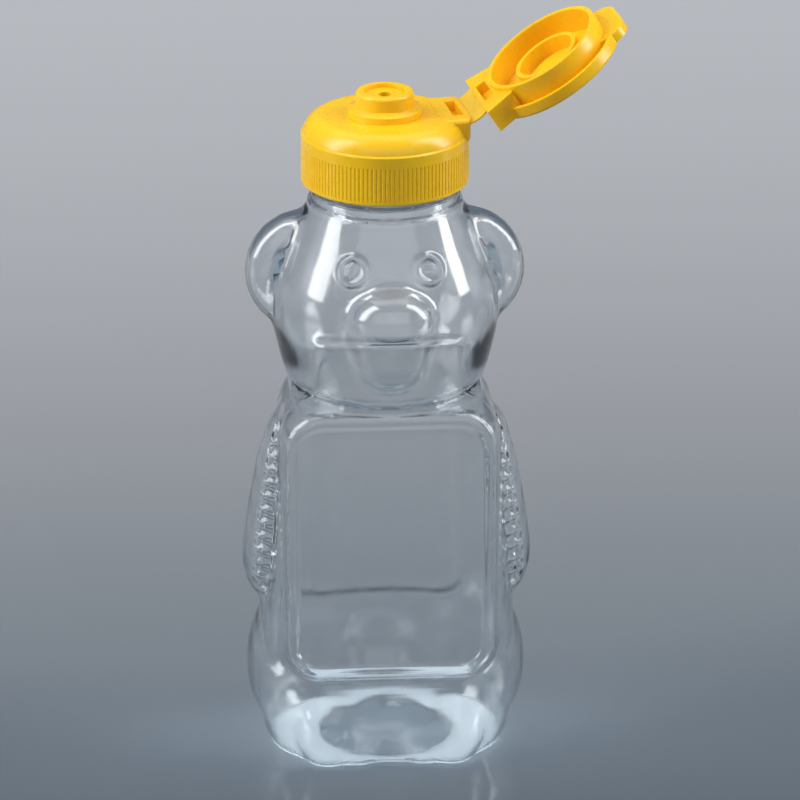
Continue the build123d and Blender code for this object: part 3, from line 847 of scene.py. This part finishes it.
@dataclass
class BearBottle:
    """The blown bottle as one skin with a thin wall, in millimetres and degrees."""

    torso: Torso = field(default_factory=Torso)
    head: Head = field(default_factory=Head)
    arms: Arms = field(default_factory=Arms)
    base: Base = field(default_factory=Base)
    neck: Neck = field(default_factory=Neck)
    wall: float = 0.8
    grain: float = 1.3
    softness: int = 5
    inner_softness: int = 8
    neck_keep: Pair = (136.0, 140.0)
    crease: float = 50.0

    def blend_forms(self) -> bpy.types.Object:
        """Joins the bear's main forms into one skin with soft valleys.

        Returns:
            The skin, closed at both ends.
        """
        parts = []
        for member in (self.torso, self.head, self.arms, self.base, self.neck):
            parts += member.add()
        deselect_all()
        for part in parts:
            part.select_set(True)
        bpy.context.view_layer.objects.active = parts[0]
        bpy.ops.object.join()
        skin = bpy.context.object
        skin.name = "bear_bottle"
        remesh = skin.modifiers.new("skin", "REMESH")
        remesh.mode = "VOXEL"
        remesh.voxel_size = self.grain * MM
        apply_modifiers(skin)
        points = read_points(skin)
        self.base.flatten(points)
        write_points(skin, points)
        soften(skin, self.softness)
        return skin

    def refine(self, skin: bpy.types.Object, members: tuple, cuts: int) -> None:
        """Splits the faces where small details are pressed in.

        Args:
            skin: the skin of the bottle.
            members: the parts of the bear whose details get the finer mesh.
            cuts: how many cuts go through each face.
        """
        mesh = skin.data
        centres = read_rows(mesh.polygons, "center") / MM
        chosen = np.zeros(len(centres), bool)
        for member in members:
            chosen |= member.detail(centres)
        clear_marks(mesh)
        mesh.polygons.foreach_set("select", chosen)
        bpy.context.tool_settings.mesh_select_mode = (False, False, True)
        with editing(skin):
            bpy.ops.mesh.subdivide(number_cuts=cuts)

    def press_details(self, skin: bpy.types.Object) -> np.ndarray:
        """Presses panels, face, ribs, base and neck into the skin.

        Args:
            skin: the skin of the bottle.

        Returns:
            The points of the inner side of the wall, which has no fine details.
        """
        blank, square = read_points(skin), read_normals(skin)
        for slope in (self.torso.inner_slope, self.torso.slope):
            points = blank.copy()
            self.torso.press(points, square, slope)
            self.base.press(points)
            self.head.crease(points)
            self.head.part_lips(points, square, slope)
            self.arms.press(points, 0)
            self.neck.press(points)
            write_points(skin, points)
            if slope == self.torso.inner_slope:
                calm, inward = points, read_normals(skin)
        normals = read_normals(skin)
        self.head.press(points, normals)
        self.arms.press(points, self.arms.rib_depth)
        write_points(skin, points)
        depth = self.wall + self.arms.rib_depth * self.arms.window(self.arms.local(calm))
        depth += self.head.thicken(calm)
        return calm - depth[:, None] * inward

    def calm_wall(self, skin: bpy.types.Object, inside: np.ndarray) -> np.ndarray:
        """Rounds the inner side of the wall off, as blowing does.

        Args:
            skin: the skin of the bottle.
            inside: the inner side's points in millimetres.

        Returns:
            The calmer points; those of the neck and behind the ribs stay.
        """
        activate(skin)
        bpy.ops.object.duplicate()
        lining = bpy.context.object
        write_points(lining, inside)
        soften(lining, self.inner_softness)
        calm = read_points(lining)
        bpy.data.objects.remove(lining)
        keep = np.maximum(smooth_step(inside[:, 2], *self.neck_keep), self.arms.detail(calm))
        return calm + keep[:, None] * (inside - calm)

    def build(self) -> bpy.types.Object:
        """Builds the bottle with its wall.

        Returns:
            The finished mesh, without a material.
        """
        skin = self.blend_forms()
        self.refine(skin, (self.torso, self.head, self.neck, self.base), 1)
        self.refine(skin, (self.arms,), 2)
        self.neck.cut(skin)
        inside = self.calm_wall(skin, self.press_details(skin))
        outer = len(skin.data.vertices)
        wall = skin.modifiers.new("wall", "SOLIDIFY")
        wall.thickness = self.wall * MM
        wall.offset = -1
        apply_modifiers(skin)
        points = read_points(skin)
        points[outer:] = inside
        self.neck.bore_out(points[outer:])
        write_points(skin, points)
        shade(skin, self.crease)
        return skin

    def dress(self, piece: bpy.types.Object) -> None:
        """Gives a piece of the bottle its material and lets it ride the bottle.

        Args:
            piece: the skin or the thread.
        """
        piece.data.materials.clear()
        piece.data.materials.append(ClearPlastic().make())
        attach(piece, Body.BOTTLE.value)


@dataclass
class HingeFilm:
    """The thin film between cap and lid, drawn open, in millimetres and degrees."""

    azimuth: float = 8.5
    axis_x: float = 21.6
    axis_z: float = 167.5
    lid_open: float = 146.5
    cap_edge: Pair = (19.9, 165.2)
    lid_edge: Pair = (19.8, 168.2)
    half_width: float = 8.8
    thickness: float = 0.45
    sag: float = 0.5
    steps: int = 20

    def ends(self) -> tuple[Vector, Vector]:
        """Finds the film's two ends in the plane across the hinge.

        Returns:
            The end on the cap and the end on the opened lid, with a lap into each.
        """
        turn = math.radians(self.lid_open)
        run, rise = self.lid_edge[0] - self.axis_x, self.lid_edge[1] - self.axis_z
        start = Vector((self.cap_edge[0], 0, self.cap_edge[1]))
        end = Vector((
            self.axis_x + run * math.cos(turn) + rise * math.sin(turn),
            0,
            self.axis_z - run * math.sin(turn) + rise * math.cos(turn),
        ))
        lap = (end - start).normalized() * self.thickness
        return start - lap, end + lap

    def build(self) -> bpy.types.Object:
        """Builds the film as a bent band.

        Returns:
            The film between cap and lid.
        """
        piece, points = column(self.steps, 4)
        start, end = self.ends()
        along = (end - start).normalized()
        across = Vector((along.z, 0, -along.x))
        part = (points[:, 2] + 1) / 2
        side, face = points[:, 0] + points[:, 1], points[:, 0] - points[:, 1]
        offset = 4 * self.sag * part * (1 - part) + face * self.thickness / 2
        x = start.x + (end.x - start.x) * part + across.x * offset
        y = side * self.half_width
        z = start.z + (end.z - start.z) * part + across.z * offset
        turn = math.radians(self.azimuth)
        cos, sin = math.cos(turn), math.sin(turn)
        write_points(piece, np.stack([x * cos - y * sin, x * sin + y * cos, z], 1))
        face_outward(piece)
        shade(piece, SMALL_CREASE)
        piece.name = "film_hinge"
        return piece

    def dress(self, piece: bpy.types.Object) -> None:
        """Gives the film its material, hides the solid strap and bakes its place into the mesh.

        Args:
            piece: the film.
        """
        piece.data.materials.clear()
        piece.data.materials.append(FilmPlastic().make())
        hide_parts("hinge_strap")
        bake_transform(piece)


class Finish:
    """The nodes of one material, with the steps that the finishes share."""

    noise_limits: Pair = (0.3, 0.7)
    tint_limits: Pair = (0.35, 0.65)

    def __init__(self, name: str) -> None:
        """Starts a material with its main shader.

        Args:
            name: the material's name.
        """
        self.material = bpy.data.materials.new(name)
        self.material.use_nodes = True
        self.nodes = self.material.node_tree.nodes
        self.shader = self.nodes["Principled BSDF"]
        self.output = self.nodes["Material Output"]

    def add(self, kind: str, **values: float | Row) -> bpy.types.Node:
        """Adds a node.

        Args:
            kind: its type, without the word that all of them start with.
            values: the values of its inputs, with _ for a space in their names.

        Returns:
            The new node.
        """
        node = self.nodes.new("ShaderNode" + kind)
        for name, value in values.items():
            node.inputs[name.replace("_", " ")].default_value = value
        return node

    def link(self, source: bpy.types.Node, out: str, target: bpy.types.Node, into: str | int) -> None:
        """Leads the output of one node into the input of another."""
        self.material.node_tree.links.new(source.outputs[out], target.inputs[into])

    def noise(self, scale: float, detail: float) -> bpy.types.Node:
        """Adds a noise on the object's own coordinates.

        Args:
            scale: how many waves fit in a metre.
            detail: how many finer layers it has.

        Returns:
            The noise node.
        """
        noise = self.add("TexNoise", Scale=scale, Detail=detail)
        self.link(self.add("TexCoord"), "Object", noise, "Vector")
        return noise

    def bump(self, noise: bpy.types.Node, strength: float, height: float) -> None:
        """Lets a noise ripple the surface.

        Args:
            noise: the noise node that gives the height.
            strength: how strongly it shows.
            height: its height in millimetres.
        """
        bump = self.add("Bump", Strength=strength, Distance=height * MM)
        self.link(noise, "Fac", bump, "Height")
        self.link(bump, "Normal", self.shader, "Normal")

    def vary(self, noise: bpy.types.Node, name: str, low: float, high: float) -> None:
        """Lets a noise vary one value of the shader.

        Args:
            noise: the noise node.
            name: the shader's input.
            low: its least value.
            high: its greatest value.
        """
        first, last = self.noise_limits
        spread = self.add("MapRange", From_Min=first, From_Max=last, To_Min=low, To_Max=high)
        self.link(noise, "Fac", spread, "Value")
        self.link(spread, "Result", self.shader, name)

    def tint(self, noise: bpy.types.Node, first: Triple, second: Triple) -> None:
        """Lets a noise mix two colours of the surface.

        Args:
            noise: the noise node.
            first: the colour where the noise is low.
            second: the colour where it is high.
        """
        ramp = self.add("ValToRGB")
        for stop, place, tone in zip(ramp.color_ramp.elements, self.tint_limits, (first, second)):
            stop.position, stop.color = place, (*tone, 1)
        self.link(noise, "Fac", ramp, "Fac")
        self.link(ramp, "Color", self.shader, "Base Color")


@dataclass(frozen=True)
class ClearPlastic:
    """Clear blown plastic: a little wavy, faintly blue where it is seen edge-on."""

    base: Triple = (0.985, 0.993, 1)
    tone: Triple = (0.55, 0.72, 0.79)
    density: float = 75.0
    index: float = 1.55
    waves: Pair = (70, 1.5)
    ripple: float = 0.2
    ripple_height: float = 0.5
    haze: Pair = (160, 2)
    roughness: Pair = (0.06, 0.13)
    shade: Triple = (0.93, 0.95, 0.965)
    frost: float = 0.5
    # Milky white share of the foot ring: painted light for the light that gathers in the foot.
    painted_foot_light: float = 0.04
    foot_ring_edge: Pair = (16.9, 17.2)
    foot_ring_levels: Pair = (1.2, 0.7)

    def make(self) -> bpy.types.Material:
        """Makes the material.

        Returns:
            The finished material.
        """
        paint = Finish("clear_plastic")
        paint.shader.inputs["Base Color"].default_value = (*self.base, 1)
        paint.shader.inputs["Transmission Weight"].default_value = 1
        paint.shader.inputs["IOR"].default_value = self.index
        paint.bump(paint.noise(*self.waves), self.ripple, self.ripple_height)
        paint.vary(paint.noise(*self.haze), "Roughness", *self.roughness)
        self.frost_and_light_foot(paint)
        inside = paint.add("VolumeAbsorption", Color=(*self.tone, 1), Density=self.density)
        paint.link(inside, "Volume", paint.output, "Volume")
        self.let_lamps_through(paint)
        return paint.material

    def frost_and_light_foot(self, paint: Finish) -> None:
        """Roughens the ring that the bottle stands on, and turns it a little milky white as painted light
        for the light that gathers in the foot.

        Args:
            paint: the material in work, its roughness already varied.
        """
        place, split = paint.add("TexCoord"), paint.add("SeparateXYZ")
        flat, away = paint.add("VectorMath"), paint.add("VectorMath")
        flat.operation, away.operation = "MULTIPLY", "LENGTH"
        flat.inputs[1].default_value = (1, 1, 0)
        ring, low = (
            paint.add("MapRange", From_Min=limits[0] * MM, From_Max=limits[1] * MM)
            for limits in (self.foot_ring_edge, self.foot_ring_levels)
        )
        paint.link(place, "Object", flat, 0)
        paint.link(flat, "Vector", away, 0)
        paint.link(away, "Value", ring, "Value")
        paint.link(place, "Object", split, "Vector")
        paint.link(split, "Z", low, "Value")
        both, rough, clear = (paint.add("Math") for _ in range(3))
        both.operation, rough.operation, clear.operation = "MULTIPLY", "MULTIPLY_ADD", "MULTIPLY_ADD"
        paint.link(ring, "Result", both, 0)
        paint.link(low, "Result", both, 1)
        even = paint.shader.inputs["Roughness"].links[0].from_node
        paint.link(even, "Result", rough, 2)
        clear.inputs[2].default_value = 1
        # The foot ring gets real roughness and a milky white share, which is painted light.
        rows = ((rough, self.frost, "Roughness"), (clear, -self.painted_foot_light, "Transmission Weight"))
        for node, share, name in rows:
            paint.link(both, "Value", node, 0)
            node.inputs[1].default_value = share
            paint.link(node, "Value", paint.shader, name)

    def let_lamps_through(self, paint: Finish) -> None:
        """Lets the clear wall throw only a faint shadow.

        Args:
            paint: the material in work.
        """
        clear = paint.add("BsdfTransparent", Color=(*self.shade, 1))
        mix = paint.add("MixShader")
        paint.link(paint.add("LightPath"), "Is Shadow Ray", mix, "Fac")
        paint.link(paint.shader, "BSDF", mix, 1)
        paint.link(clear, "BSDF", mix, 2)
        paint.link(mix, "Shader", paint.output, "Surface")


@dataclass(frozen=True)
class YellowPlastic:
    """Warm yellow moulded plastic of the cap, glossy and a little translucent."""

    light: Triple = (0.97, 0.58, 0.012)
    deep: Triple = (0.95, 0.53, 0.008)
    name: str = "yellow_plastic"
    glow: float = 0.2
    glow_reach: Triple = (0.004, 0.002, 0.0005)
    clouds: Pair = (45, 3)
    smears: Pair = (220, 3)
    roughness: Pair = (0.22, 0.34)
    grain: Pair = (900, 2)
    grain_strength: float = 0.15
    grain_height: float = 0.05

    def make(self) -> bpy.types.Material:
        """Makes the material.

        Returns:
            The finished material.
        """
        paint = Finish(self.name)
        paint.tint(paint.noise(*self.clouds), self.deep, self.light)
        paint.vary(paint.noise(*self.smears), "Roughness", *self.roughness)
        paint.bump(paint.noise(*self.grain), self.grain_strength, self.grain_height)
        paint.shader.inputs["Subsurface Weight"].default_value = self.glow
        paint.shader.inputs["Subsurface Radius"].default_value = self.glow_reach
        paint.shader.inputs["Subsurface Scale"].default_value = 1.0
        return paint.material


@dataclass(frozen=True)
class FilmPlastic(YellowPlastic):
    """The same plastic drawn thin and pale by bending."""

    light: Triple = (0.98, 0.62, 0.06)
    deep: Triple = (0.96, 0.55, 0.03)
    name: str = "film_plastic"
    glow: float = 0.3


@dataclass(frozen=True)
class FoamRing:
    """White closed-cell foam of the sealing ring."""

    cells: Pair = (1800, 4)
    dull: Triple = (0.72, 0.72, 0.70)
    pale: Triple = (0.86, 0.86, 0.84)
    dent_strength: float = 0.5
    dent_height: float = 0.1
    roughness: Pair = (0.7, 0.95)

    def make(self) -> bpy.types.Material:
        """Makes the material.

        Returns:
            The finished material.
        """
        paint = Finish("white_foam")
        cells = paint.noise(*self.cells)
        paint.tint(cells, self.dull, self.pale)
        paint.bump(cells, self.dent_strength, self.dent_height)
        paint.vary(cells, "Roughness", *self.roughness)
        return paint.material


@dataclass
class Closure:
    """Cap, lid and sealing ring, which keep their exact solids."""

    moulded: tuple[str, ...] = ("cap_base", "lid")
    seal: str = "seal_ring"

    def dress(self) -> None:
        """Gives the exact solids their finishes."""
        yellow = YellowPlastic().make()
        for name in self.moulded:
            self.paint(name, yellow)
        self.paint(self.seal, FoamRing().make())

    def paint(self, name: str, material: bpy.types.Material) -> None:
        """Gives one solid its material.

        Args:
            name: the solid's node.
            material: its finish.
        """
        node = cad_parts[name]
        node.data.materials.clear()
        node.data.materials.append(material)
        report(node)


@dataclass(frozen=True)
class Lamp:
    """A soft box, in metres and watts."""

    name: str
    place: Triple
    size: Pair
    power: float

    def add(self, aim: Triple) -> None:
        """Adds the lamp.

        Args:
            aim: the point that it faces, in metres.
        """
        bpy.ops.object.light_add(type="AREA", location=self.place)
        light = bpy.context.object
        light.name = self.name
        light.data.shape = "RECTANGLE"
        light.data.size, light.data.size_y = self.size
        light.data.energy = self.power
        light.rotation_mode = "QUATERNION"
        light.rotation_quaternion = (Vector(aim) - Vector(self.place)).to_track_quat("-Z", "Y")


@dataclass
class Studio:
    """Camera, floor and lamps; the camera in millimetres, the rest in metres."""

    azimuth: float = -3.8
    elevation: float = 21.54
    distance: float = 1609.0
    target_level: float = 90.45
    pixels_per_mm: float = 4.008
    image: float = 800.0
    axis_pixel: float = 385.1
    sensor: float = 36.0
    sight: float = 20.0
    floor_size: float = 4.0
    floor_drop: float = 0.0001
    floor_roughness: float = 0.10
    near_edge: float = -0.05
    far_edge: float = 0.60
    # Floor colours from near the camera to far away: the dark blue near end is a painted reflection of
    # dark surroundings.
    painted_shade_tones: tuple[tuple[float, Triple], ...] = (
        (0.0, (0.098, 0.118, 0.140)),
        (0.22, (0.186, 0.205, 0.224)),
        (0.45, (0.306, 0.309, 0.323)),
        (1.0, (0.590, 0.590, 0.604)),
    )
    world_tone: Triple = (0.12, 0.145, 0.18)
    aim: Triple = (0, 0, 0.1)
    lamps: tuple[Lamp, ...] = (
        Lamp("left", (-1.05, -0.17, 0.80), (0.52, 1.5), 17.0),
        Lamp("right", (1.07, -0.05, 0.80), (0.38, 1.5), 15.0),
        Lamp("top", (0.0, 0.35, 1.10), (1.1, 0.8), 3.2),
        Lamp("front", (0.0, -1.5, 0.9), (2.6, 1.6), 9.0),
    )

    def camera(self) -> None:
        """Places the camera at the photo's angle."""
        turn, rise = math.radians(self.azimuth), math.radians(self.elevation)
        back = Vector((math.sin(turn) * math.cos(rise), -math.cos(turn) * math.cos(rise), math.sin(rise)))
        right = Vector((math.cos(turn), math.sin(turn), 0))
        aside = (self.image / 2 - self.axis_pixel) / self.pixels_per_mm
        target = Vector((0, 0, self.target_level)) + right * aside
        bpy.ops.object.camera_add(location=(target + back * self.distance) * MM)
        camera = bpy.context.object
        camera.rotation_mode = "QUATERNION"
        camera.rotation_quaternion = (-back).to_track_quat("-Z", "Y")
        camera.data.sensor_width = self.sensor
        camera.data.lens = self.sensor * self.distance / (self.image / self.pixels_per_mm)
        camera.data.clip_end = self.sight
        bpy.context.scene.camera = camera

    def floor(self) -> None:
        """Adds the floor, which also makes the background; it is painted darker and bluer towards the
        camera, a painted reflection of dark surroundings.
        """
        bpy.ops.mesh.primitive_plane_add(size=self.floor_size, location=(0, 0, -self.floor_drop))
        floor = bpy.context.object
        floor.name = "floor"
        paint = Finish("floor_grey")
        place, split, ramp = (paint.add(kind) for kind in ("TexCoord", "SeparateXYZ", "ValToRGB"))
        run = paint.add("MapRange", From_Min=self.near_edge, From_Max=self.far_edge)
        stops = ramp.color_ramp.elements
        # The ramp lays the painted shade, darker and bluer towards the camera.
        for share, _ in self.painted_shade_tones[1:-1]:
            stops.new(share)
        for stop, (share, tone) in zip(stops, self.painted_shade_tones):
            stop.position, stop.color = share, (*tone, 1)
        paint.link(place, "Object", split, "Vector")
        paint.link(split, "Y", run, "Value")
        paint.link(run, "Result", ramp, "Fac")
        paint.link(ramp, "Color", paint.shader, "Base Color")
        paint.shader.inputs["Roughness"].default_value = self.floor_roughness
        floor.data.materials.append(paint.material)

    def lights(self) -> None:
        """Adds the soft boxes and a plain world."""
        for lamp in self.lamps:
            lamp.add(self.aim)
        world = bpy.data.worlds.new("studio")
        world.use_nodes = True
        bpy.context.scene.world = world
        world.node_tree.nodes["Background"].inputs["Color"].default_value = (*self.world_tone, 1)


def main() -> None:
    """Builds each piece, dresses it and sets up the studio."""
    logging.basicConfig(level=logging.INFO)
    bottle = BearBottle()
    skin, thread = bottle.build(), bottle.neck.thread()
    for piece in (skin, thread):
        bottle.dress(piece)
        report(piece)
    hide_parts("bottle")
    Closure().dress()
    film = HingeFilm()
    band = film.build()
    film.dress(band)
    report(band)
    studio = Studio()
    studio.camera()
    studio.floor()
    studio.lights()
    bpy.context.scene.view_settings.view_transform = "Standard"


if __name__ == "__main__":
    main()
